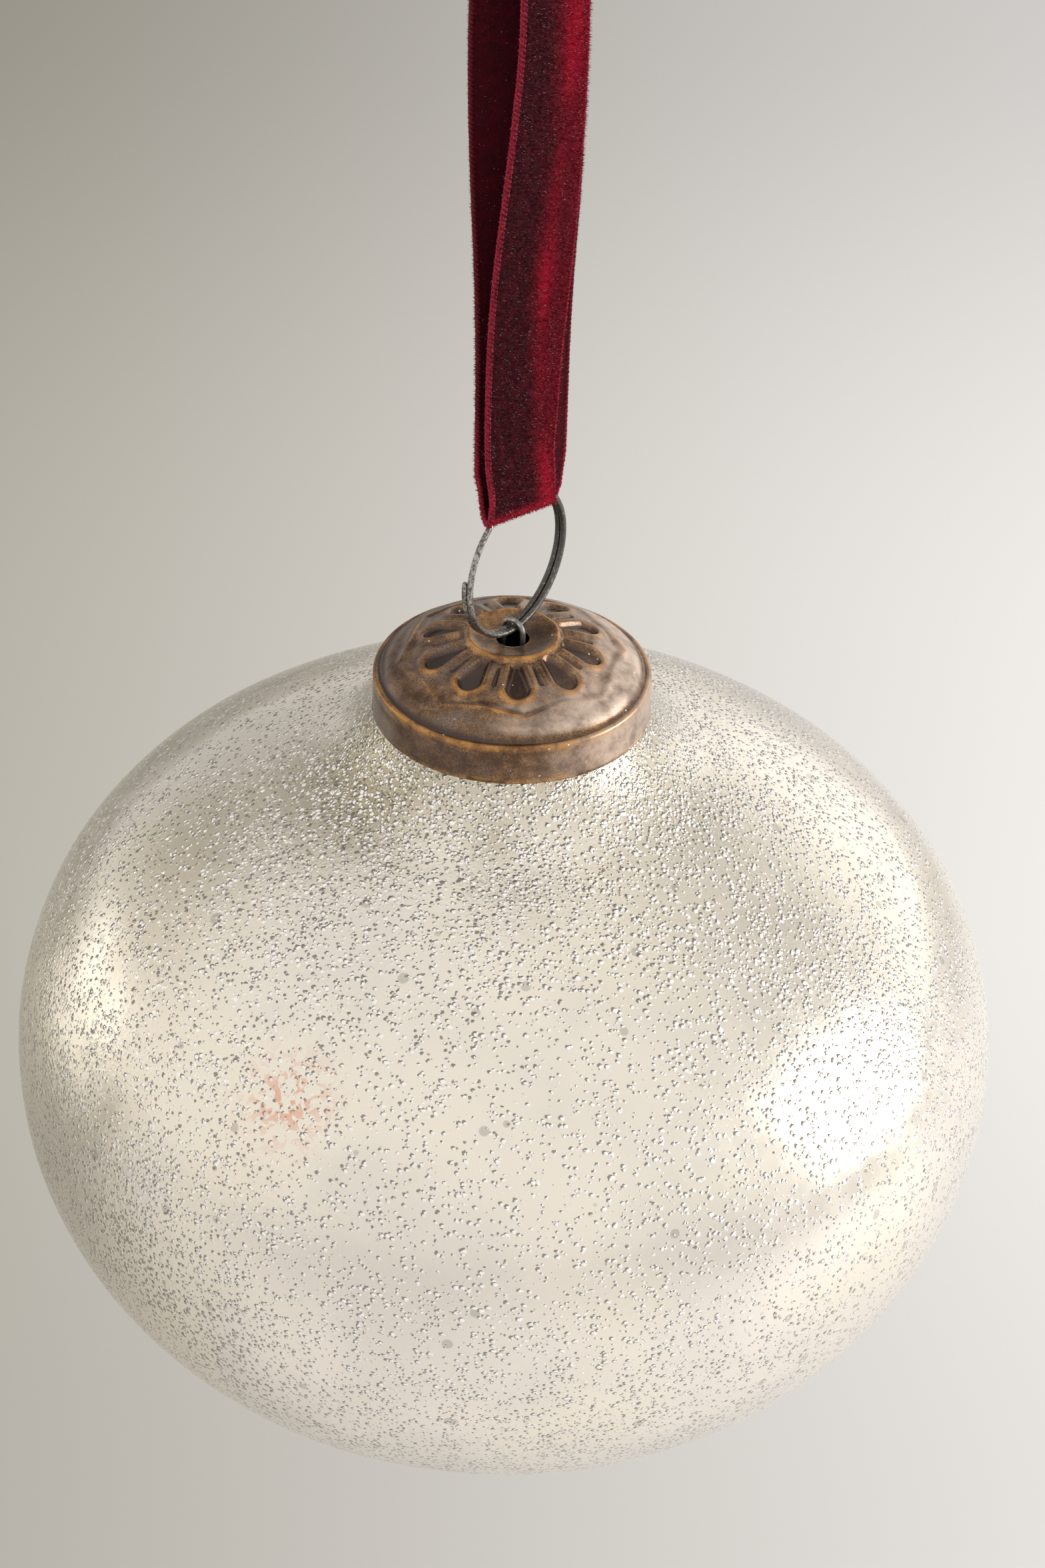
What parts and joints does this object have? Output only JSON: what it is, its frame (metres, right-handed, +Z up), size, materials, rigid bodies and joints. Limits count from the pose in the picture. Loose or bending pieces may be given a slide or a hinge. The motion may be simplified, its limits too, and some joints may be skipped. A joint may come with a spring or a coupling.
{
  "type": "glass ball ornament",
  "caption": "Squat silvered glass ball ornament with a petal-stamped brass cap, a sprung wire clip, a split ring and a velvet ribbon hanging loop.",
  "frame": {"origin": "lowest point of the glass ball, on its axis", "axes": "+Z up along the ball's axis, through the cap, the ring and the hanging loop; +Y away from the side shown in the main view"},
  "size_m": [0.1, 0.1, 0.1966],
  "materials": {
    "silvered_glass": "glossy outside, with a mottled warm silver backing full of tiny bubbles",
    "aged_brass": "stamped sheet, umber in the hollows and rubbed to ochre on the raised edges",
    "clip_wire": "dull drawn wire",
    "ring_wire": "darkened wire with scratched, bright high spots",
    "velvet": "short dense velvet pile with woven edges",
    "thread": "twisted sewing thread"
  },
  "bodies": {
    "ribbon": {"ribbon_loop": "velvet", "lap_stitching": "thread"},
    "ring": {"split_ring": "ring_wire"},
    "clip": {"spring_clip": "clip_wire"},
    "cap": {"cap": "aged_brass"},
    "ball": {"glass_ball": "silvered_glass"}
  },
  "joints": [
    {"name": "ring_swing", "type": "hinge", "parent": "ribbon", "child": "ring", "pos_m": [0, 0, 0.10384], "axis": [0.5878, 0.809, 0], "range_deg": [-80, 80]},
    {"name": "clip_travel", "type": "hinge", "parent": "ring", "child": "clip", "pos_m": [0, 0, 0.09738], "axis": [-0.809, 0.5878, 0], "range_deg": [-80, 80]},
    {"name": "cap_turn", "type": "hinge", "parent": "clip", "child": "cap", "pos_m": [0, 0, 0.0887], "axis": [0, 0, 1], "continuous": true},
    {"name": "glass_lift", "type": "slide", "parent": "clip", "child": "ball", "axis": [0, 0, -1], "range_m": [0, 0.03]}
  ]
}
